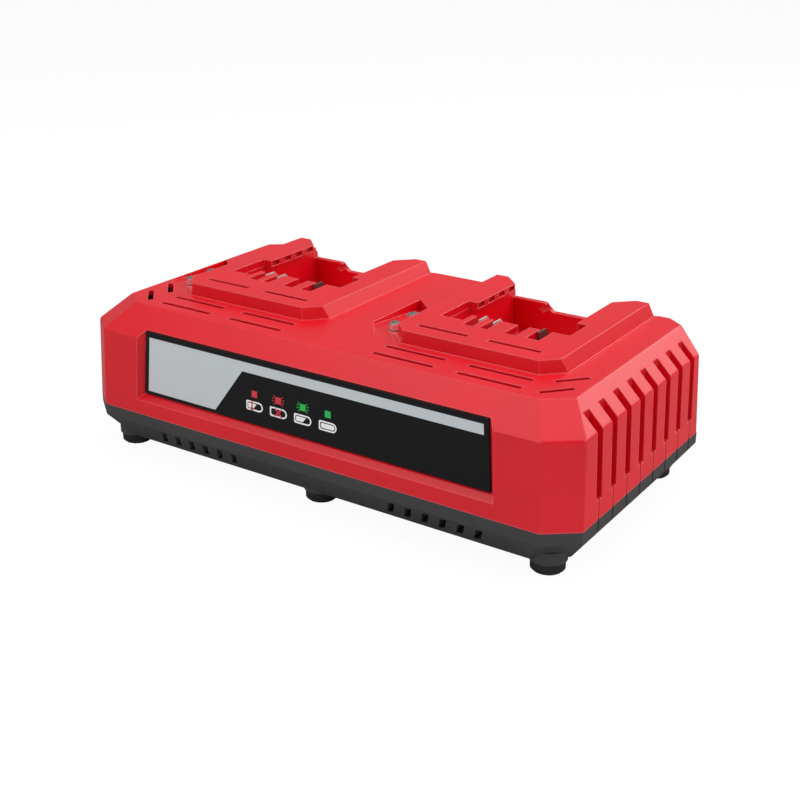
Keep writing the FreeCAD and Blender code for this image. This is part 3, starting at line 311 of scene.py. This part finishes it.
def bright_metal(name, colour, rough, metallic=1.0):
    """Drawn or rolled metal with level streaks."""
    finish = Finish(name)
    stretched = finish.node("ShaderNodeMapping", None, {"Vector": finish.place(), "Scale": (1.0, 1.0, 14.0)})
    streaks = finish.noise(scale=260.0, detail=3.0, rough=0.6, where=stretched)
    base = finish.blend(finish.ramp(streaks, low=0.3, high=0.8), colour, shaded(colour, factor=0.8))
    return finish.close(Base_Color=base, Metallic=metallic, Roughness=rough + streaks * 0.14,
                        Normal=finish.bump(streaks, distance=0.00001, strength=0.5))


def clear_plastic(name):
    finish = Finish(name)
    haze = finish.noise(scale=500.0, detail=2.0)
    return finish.close(Base_Color=(0.92, 0.93, 0.94), Roughness=0.04 + haze * 0.05, IOR=1.58,
                        Transmission_Weight=0.88, Normal=finish.bump(haze, distance=0.00002, strength=0.3))


def plain_part(name, colour, rough):
    """Small parts inside: a mottled colour with a fine surface."""
    finish = Finish(name)
    mottle_size = 0.0012
    mottle = finish.noise(scale=1 / mottle_size, detail=4.0)
    base = finish.blend(finish.ramp(mottle, low=0.3, high=0.75), colour, shaded(colour, factor=0.75))
    return finish.close(Base_Color=base, Roughness=rough + mottle * 0.12,
                        Normal=finish.bump(mottle, distance=0.00003, strength=0.5))


def wound_wire():
    finish = Finish("enamelled_wire")
    turns = finish.node("ShaderNodeTexWave", {"bands_direction": "Z"},
                        {"Vector": finish.place(), "Scale": 1900.0}, output=1)
    base = finish.blend(turns, linear(0.45, 0.20, 0.10), linear(0.85, 0.48, 0.25))
    return finish.close(Base_Color=base, Metallic=0.6, Roughness=0.3 + turns * 0.1,
                        Normal=finish.bump(turns, distance=0.0002, strength=0.8))


def circuit_board(colour):
    finish = Finish("circuit_board")
    cells = finish.node("ShaderNodeTexVoronoi", {"feature": "DISTANCE_TO_EDGE"},
                        {"Vector": finish.place(), "Scale": 260.0})
    tracks = finish.ramp(cells, low=0.10, high=0.06)
    base = finish.blend(tracks * 0.6, colour, shaded(colour, factor=1.7))
    return finish.close(Base_Color=base, Roughness=0.34 + tracks * 0.1,
                        Normal=finish.bump(tracks, distance=0.00003, strength=0.4))


def wear(node, material):
    """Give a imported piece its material."""
    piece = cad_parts[node]
    piece.data.materials.clear()
    piece.data.materials.append(material)


class PanelPlane:
    """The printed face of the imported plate: millimetres across and up from its lower middle."""

    def __init__(self):
        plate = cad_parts["indicator_panel"].data
        front = max((p for p in plate.polygons if p.normal.y < -FACES_FRONT), key=lambda p: p.area)
        self.out = front.normal.normalized()
        self.across = Vector((1, 0, 0))
        self.up = self.out.cross(self.across).normalized()
        face = [plate.vertices[i].co for p in plate.polygons if p.normal.dot(self.out) > SAME_PLANE
                for i in p.vertices]
        low = min(c.dot(self.up) for c in face)
        high = max(c.dot(self.up) for c in face)
        bottom = [c for c in face if c.dot(self.up) < low + MM]
        top = [c for c in face if c.dot(self.up) > high - MM]
        self.half_bottom = max(c.x for c in bottom) / MM
        self.half_top = max(c.x for c in top) / MM
        self.height = (high - low) / MM
        point = bottom[0]
        self.origin = Vector((0, point.y, point.z)) + self.up * (low - point.dot(self.up))

    def at(self, u, v, lift=0.0):
        return self.origin + (self.across * u + self.up * v + self.out * lift) * MM

    def half_at(self, v):
        return self.half_bottom + (self.half_top - self.half_bottom) * v / self.height


def flat_shape(bm, plane, points, lift, thickness):
    """Thin closed plate on the panel from an outline in millimetres."""
    area = sum(a[0] * b[1] - b[0] * a[1] for a, b in zip(points, points[1:] + points[:1]))
    ring = points if area > 0 else points[::-1]
    back = [bm.verts.new(plane.at(u, v, lift)) for u, v in ring]
    front = [bm.verts.new(plane.at(u, v, lift + thickness)) for u, v in ring]
    bm.faces.new(front)
    bm.faces.new(back[::-1])
    for i in range(len(ring)):
        j = (i + 1) % len(ring)
        bm.faces.new((back[i], back[j], front[j], front[i]))


def ring_shape(bm, plane, outer, inner, lift, thickness):
    """Thin closed frame between two outlines with as many points each."""
    rows = []
    for points in (outer, inner):
        rows.append(([bm.verts.new(plane.at(u, v, lift)) for u, v in points],
                     [bm.verts.new(plane.at(u, v, lift + thickness)) for u, v in points]))
    (back, front), (inner_back, inner_front) = rows
    for i in range(len(outer)):
        j = (i + 1) % len(outer)
        bm.faces.new((front[i], front[j], inner_front[j], inner_front[i]))
        bm.faces.new((back[j], back[i], inner_back[i], inner_back[j]))
        bm.faces.new((back[i], back[j], front[j], front[i]))
        bm.faces.new((inner_back[j], inner_back[i], inner_front[i], inner_front[j]))


def plate(outline, lift=0.0):
    """A filled shape of a printed layer."""
    return outline, None, lift


def print_piece(name, shapes, material):
    """One printed layer; shapes is a list of (outline, inner outline or None, lift)."""
    plane = PanelPlane()
    thickness = bpy.context.scene.charger_sizes.print_thickness / MM
    bm = bmesh.new()
    for outer, inner, lift in shapes:
        if inner is None:
            flat_shape(bm, plane, outer, lift, thickness)
        else:
            ring_shape(bm, plane, outer, inner, lift, thickness)
    bmesh.ops.recalc_face_normals(bm, faces=bm.faces)
    mesh = bpy.data.meshes.new(name)
    bm.to_mesh(mesh)
    bm.free()
    mesh.materials.append(material)
    piece = bpy.data.objects.new(name, mesh)
    bpy.context.scene.collection.objects.link(piece)
    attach(piece, BODY)


def battery_outline(u, v, length, height, inset=0.0):
    """Battery symbol seen flat: square at the left, round at the right."""
    left = u - length / 2 + inset
    low = v - height / 2 + inset
    high = v + height / 2 - inset
    radius = (high - low) / 2
    centre = u + length / 2 - inset - radius
    corner = min(SYMBOL_CORNER, radius / 2)
    points = [(left + corner, low), (centre, low)]
    for i in range(1, ROUND_STEPS):
        angle = -math.pi / 2 + math.pi * i / ROUND_STEPS
        points.append((centre + radius * math.cos(angle), v + radius * math.sin(angle)))
    return points + [(centre, high), (left + corner, high), (left, high - corner), (left, low + corner)]


def square(u, v, side):
    half = side / 2
    return [(u - half, v - half), (u + half, v - half), (u + half, v + half), (u - half, v + half)]


def bar(u, v, length, width, angle):
    """Narrow bar centred at a point and turned by an angle in degrees."""
    c, s = math.cos(math.radians(angle)), math.sin(math.radians(angle))
    corners = [(-length / 2, -width / 2), (length / 2, -width / 2), (length / 2, width / 2),
               (-length / 2, width / 2)]
    return [(u + x * c - y * s, v + x * s + y * c) for x, y in corners]


def flash_rays(u, v):
    """Short rays round a lit square, left and right of it and over its corners."""
    rays = []
    for angle in RAY_ANGLES:
        c, s = math.cos(math.radians(angle)), math.sin(math.radians(angle))
        rays.append(bar(u + RAY_REACH * c, v + RAY_REACH * s * RAY_SQUASH, RAY_LENGTH, RAY_WIDTH, angle))
    return rays


class ChargerSizes(bpy.types.PropertyGroup):
    """Sizes of the printed and dressed details."""

    print_thickness: bpy.props.FloatProperty(
        name="Print thickness", description="Height of each printed layer", default=0.00006, unit="LENGTH")
    legend_pitch: bpy.props.FloatProperty(
        name="Legend pitch", description="From one legend symbol to the next", default=0.0138, unit="LENGTH")
    legend_start: bpy.props.FloatProperty(
        name="Legend start", description="First legend symbol, from the panel's middle", default=-0.0276,
        unit="LENGTH")
    lamp_height: bpy.props.FloatProperty(
        name="Lamp square height", description="Lamp squares, from the panel's lower edge", default=0.0147,
        unit="LENGTH")
    battery_height: bpy.props.FloatProperty(
        name="Battery height", description="Battery symbols, from the panel's lower edge", default=0.0089,
        unit="LENGTH")


class ChargerColours(bpy.types.PropertyGroup):
    """Colours of the main finishes."""

    hood: bpy.props.FloatVectorProperty(
        name="Hood", description="Moulded red", default=RED, size=3, subtype="COLOR", min=0.0, max=1.0)
    base: bpy.props.FloatVectorProperty(
        name="Base", description="Moulded dark grey", default=DARK_GREY, size=3, subtype="COLOR",
        min=0.0, max=1.0)
    field: bpy.props.FloatVectorProperty(
        name="Panel field", description="Pale field of the panel", default=PANEL_GREY, size=3,
        subtype="COLOR", min=0.0, max=1.0)
    foot: bpy.props.FloatVectorProperty(
        name="Feet", description="Rubber", default=RUBBER, size=3, subtype="COLOR", min=0.0, max=1.0)


class CHARGER_OT_shells(bpy.types.Operator):
    """Finish the hood, the battery trays, the base and the cord inlet"""

    bl_idname = "charger.shells"
    bl_label = "Shells"

    def execute(self, context):
        colours = context.scene.charger_colours
        red = red_plastic(tuple(colours.hood))
        for node in ("top_housing", "left_battery_tray", "right_battery_tray"):
            wear(node, red)
        wear("base_housing", grey_plastic(tuple(colours.base)))
        wear("cord_inlet", foot_rubber(tuple(colours.foot)))
        return {"FINISHED"}


class CHARGER_OT_feet(bpy.types.Operator):
    """Finish the rubber feet"""

    bl_idname = "charger.feet"
    bl_label = "Feet"

    def execute(self, context):
        material = foot_rubber(tuple(context.scene.charger_colours.foot))
        for place in FOOT_PLACES:
            wear("foot_" + place, material)
        return {"FINISHED"}


class CHARGER_OT_contacts(bpy.types.Operator):
    """Finish the contact blades and the blocks that hold them"""

    bl_idname = "charger.contacts"
    bl_label = "Contacts"

    def execute(self, context):
        metal = bright_metal("nickel_blade", NICKEL, rough=0.36, metallic=0.6)
        # Painted shade: the negative blades get a darker copy of the same nickel
        painted_shade_nickel = bright_metal("painted_shade_blade", shaded(NICKEL, factor=0.3), rough=0.36)
        block = plain_part("terminal_plastic", (0.02, 0.02, 0.02), rough=0.4)
        for side in SIDES:
            for label, material in (("positive", metal), ("sensor", metal), ("negative", painted_shade_nickel)):
                wear(side + "_" + label + "_blade", material)
            wear(side + "_terminal_block", block)
        return {"FINISHED"}


class CHARGER_OT_light_pipes(bpy.types.Operator):
    """Finish the light pipes and the lamps under them"""

    bl_idname = "charger.light_pipes"
    bl_label = "Light pipes"

    def execute(self, context):
        clear = clear_plastic("clear_light_pipe")
        lamp = plain_part("lamp_lens", (0.75, 0.78, 0.76), rough=0.2)
        for side in SIDES:
            for label in ("charging", "ready"):
                wear(side + "_" + label + "_light_pipe", clear)
            wear(side + "_status_lamps", lamp)
        return {"FINISHED"}


class CHARGER_OT_panel(bpy.types.Operator):
    """Print the black panel and its pale field with the slanted end"""

    bl_idname = "charger.panel"
    bl_label = "Panel print"

    def execute(self, context):
        wear("indicator_panel", printed("panel_black", PANEL_BLACK, rough=0.26))
        plane = PanelPlane()
        top = plane.height - FIELD_TOP_MARGIN
        under_stripe = top - STRIPE_HEIGHT
        reach_low = plane.half_at(FIELD_LOW) - PANEL_BORDER
        reach_stripe = plane.half_at(under_stripe) - PANEL_BORDER
        reach_top = plane.half_at(top) - PANEL_BORDER
        points = [(-reach_low, FIELD_LOW), (SLANT_LOW_U, FIELD_LOW), (SLANT_TOP_U, under_stripe),
                  (reach_stripe, under_stripe), (reach_top, top), (-reach_top, top)]
        print_piece("panel_field", [plate(points)],
                    printed("panel_pale_grey", tuple(context.scene.charger_colours.field), rough=0.3))
        return {"FINISHED"}


class CHARGER_OT_legend(bpy.types.Operator):
    """Print the lamp squares and the battery symbols of the legend"""

    bl_idname = "charger.legend"
    bl_label = "Legend"

    def execute(self, context):
        sizes = context.scene.charger_sizes
        columns = [(sizes.legend_start + i * sizes.legend_pitch) / MM for i in range(4)]
        delayed, faulty, charging, charged = columns
        lamp_v = sizes.lamp_height / MM
        v = sizes.battery_height / MM
        shape = (SYMBOL_LENGTH, SYMBOL_HEIGHT)
        gap = SYMBOL_LINE + SYMBOL_GAP
        low = v - SYMBOL_HEIGHT / 2 + gap
        high = v + SYMBOL_HEIGHT / 2 - gap
        white = []
        for u in columns:
            white.append((battery_outline(u, v, *shape), battery_outline(u, v, *shape, SYMBOL_LINE), 0.0))
        for u, fill in ((delayed, LOW_FILL), (charging, HALF_FILL)):
            left = u - SYMBOL_LENGTH / 2 + gap
            right = u + fill
            white.append(plate([(left, low), (right - FILL_SLANT, low), (right + FILL_SLANT, high),
                                (left, high)]))
        white.append(plate(battery_outline(charged, v, *shape, gap)))
        red = [plate(square(u, lamp_v, LAMP_SIDE)) for u in (delayed, faulty)]
        red += [plate(ray) for ray in flash_rays(faulty, lamp_v)]
        for angle in (CROSS_ANGLE, -CROSS_ANGLE):
            red.append(plate(bar(faulty, v, CROSS_LENGTH, CROSS_WIDTH, angle), OVERPRINT))
        stem_u = delayed + STEM_SHIFT
        red.append(plate(bar(stem_u, v + STEM_RISE, STEM_LENGTH, STEM_WIDTH, 90), OVERPRINT))
        red.append(plate(battery_outline(stem_u, v - BULB_DROP, BULB_SIZE, BULB_SIZE), OVERPRINT))
        green = [plate(square(u, lamp_v, LAMP_SIDE)) for u in (charging, charged)]
        green += [plate(ray) for ray in flash_rays(charging, lamp_v)]
        print_piece("legend_white", white, printed("legend_white", LEGEND_WHITE, rough=0.35))
        print_piece("legend_red", red, printed("legend_red", LEGEND_RED, rough=0.35))
        print_piece("legend_green", green, printed("legend_green", LEGEND_GREEN, rough=0.35))
        return {"FINISHED"}


class CHARGER_OT_inside(bpy.types.Operator):
    """Finish the boards and what stands on them"""

    bl_idname = "charger.inside"
    bl_label = "Boards and parts"

    def execute(self, context):
        steel = bright_metal("plated_steel", linear(0.72, 0.72, 0.72), rough=0.3)
        aluminium = bright_metal("extruded_aluminium", linear(0.80, 0.81, 0.83), rough=0.34)
        black = plain_part("black_moulding", (0.018, 0.018, 0.018), rough=0.45)
        sleeve = plain_part("capacitor_sleeve", (0.02, 0.03, 0.08), rough=0.25)
        ferrite = plain_part("ferrite", (0.05, 0.05, 0.055), rough=0.5)
        cast = plain_part("cast_yellow", linear(0.86, 0.72, 0.18), rough=0.3)
        leads = plain_part("lead_cover", linear(0.65, 0.1, 0.1), rough=0.4)
        finishes = (
            (circuit_board(BOARD_GREEN), ("main_board", "left_dock_board", "right_dock_board")),
            (steel, ("housing_screws", "dock_board_screws", "main_board_screws", "fuse_clips")),
            (aluminium, ("primary_heat_sink", "output_heat_sink")),
            (wound_wire(), ("transformer_winding", "mains_choke")),
            (ferrite, ("transformer_core",)),
            (sleeve, ("mains_capacitor", "output_capacitors")),
            (cast, ("suppression_capacitor",)),
            (black, ("mains_choke_seat", "switching_transistor", "output_diodes", "bridge_rectifier")),
            (leads, ("left_dock_leads", "right_dock_leads")),
            (clear_plastic("fuse_tube"), ("fuse",)),
        )
        for material, nodes in finishes:
            for node in nodes:
                wear(node, material)
        return {"FINISHED"}


def soft_box(name, place, size, power):
    """Area light that faces the middle of the charger."""
    data = bpy.data.lights.new(name, "AREA")
    data.shape = "RECTANGLE"
    data.size, data.size_y = size
    data.energy = power
    box = bpy.data.objects.new(name, data)
    box.location = place
    box.rotation_euler = (Vector(MIDDLE) - Vector(place)).to_track_quat("-Z", "Y").to_euler()
    bpy.context.scene.collection.objects.link(box)


def photo_camera():
    """Camera at the place and the angle that the photo was taken from."""
    data = bpy.data.cameras.new("camera")
    data.sensor_width = SENSOR
    data.lens = FOCAL_PIXELS / FRAME_PIXELS * SENSOR
    data.clip_end = CLIP_END
    camera = bpy.data.objects.new("camera", data)
    camera.location = CAMERA_PLACE
    azimuth, elevation = math.radians(CAMERA_AZIMUTH), math.radians(CAMERA_ELEVATION)
    back = Vector((math.sin(azimuth) * math.cos(elevation), -math.cos(azimuth) * math.cos(elevation),
                   math.sin(elevation)))
    camera.rotation_euler = back.to_track_quat("Z", "Y").to_euler()
    bpy.context.scene.collection.objects.link(camera)
    bpy.context.scene.camera = camera


def pale_floor():
    """Floor that keeps a trace of shadow: white to the eye and through clear pieces, grey in reflections."""
    finish = Finish("pale_floor")
    shade = finish.blend(finish.ray(GLOSSY_RAY), FLOOR_WHITE, FLOOR_MIRRORED)
    lit = finish.node("ShaderNodeBsdfDiffuse", None, {"Color": shade})
    bright = finish.node("ShaderNodeEmission", None, {"Color": WHITE, "Strength": FLOOR_GLOW})
    mixed = finish.node("ShaderNodeMixShader", None, {0: finish.seen() * FLOOR_GLOW_SHARE, 1: lit, 2: bright})
    finish.node("ShaderNodeOutputMaterial", None, {"Surface": mixed})
    bm = bmesh.new()
    bmesh.ops.create_grid(bm, x_segments=2, y_segments=2, size=FLOOR_HALF_SIZE)
    mesh = bpy.data.meshes.new("floor")
    bm.to_mesh(mesh)
    bm.free()
    mesh.materials.append(finish.material)
    floor = bpy.data.objects.new("floor", mesh)
    floor.location.z = FLOOR_HEIGHT
    bpy.context.scene.collection.objects.link(floor)


def studio_world():
    """White to the eye and through clear pieces, dimmer in reflections and dimmest as light."""
    world = bpy.data.worlds.new("studio")
    bpy.context.scene.world = world
    shading = Shading(world)
    unseen = shading.ramp(shading.ray(GLOSSY_RAY), 0.0, 1.0, WORLD_LIGHT, WORLD_MIRRORED)
    strength = shading.ramp(shading.seen(), 0.0, 1.0, unseen, WORLD_SEEN)
    background = shading.node("ShaderNodeBackground", None, {"Color": WHITE, "Strength": strength})
    shading.node("ShaderNodeOutputWorld", None, {"Surface": background})


class CHARGER_OT_stage(bpy.types.Operator):
    """Set the camera, the soft boxes, the world and the pale floor"""

    bl_idname = "charger.stage"
    bl_label = "Stage"

    def execute(self, context):
        photo_camera()
        for box in SOFT_BOXES:
            soft_box(*box)
        pale_floor()
        studio_world()
        context.scene.view_settings.view_transform = "Standard"
        return {"FINISHED"}


class CHARGER_PT_panel(bpy.types.Panel):
    """Buttons for each step and the values that they use"""

    bl_label = "Charger"
    bl_space_type = "VIEW_3D"
    bl_region_type = "UI"
    bl_category = "Charger"

    def draw(self, context):
        layout = self.layout
        for group in (context.scene.charger_sizes, context.scene.charger_colours):
            for key in group.__annotations__:
                layout.prop(group, key)
        for operator in OPERATORS:
            layout.operator(operator.bl_idname)


OPERATORS = (CHARGER_OT_shells, CHARGER_OT_feet, CHARGER_OT_contacts, CHARGER_OT_light_pipes,
             CHARGER_OT_panel, CHARGER_OT_legend, CHARGER_OT_inside, CHARGER_OT_stage)
GROUPS = (ChargerSizes, ChargerColours)


def register():
    for group in GROUPS:
        bpy.utils.register_class(group)
    bpy.types.Scene.charger_sizes = bpy.props.PointerProperty(type=ChargerSizes)
    bpy.types.Scene.charger_colours = bpy.props.PointerProperty(type=ChargerColours)
    for operator in OPERATORS:
        bpy.utils.register_class(operator)
    bpy.utils.register_class(CHARGER_PT_panel)


def unregister():
    bpy.utils.unregister_class(CHARGER_PT_panel)
    for operator in reversed(OPERATORS):
        bpy.utils.unregister_class(operator)
    del bpy.types.Scene.charger_colours
    del bpy.types.Scene.charger_sizes
    for group in reversed(GROUPS):
        bpy.utils.unregister_class(group)


def main():
    register()
    bpy.ops.charger.shells()
    bpy.ops.charger.feet()
    bpy.ops.charger.contacts()
    bpy.ops.charger.light_pipes()
    bpy.ops.charger.panel()
    bpy.ops.charger.legend()
    bpy.ops.charger.inside()
    bpy.ops.charger.stage()


if __name__ == "__main__":
    main()
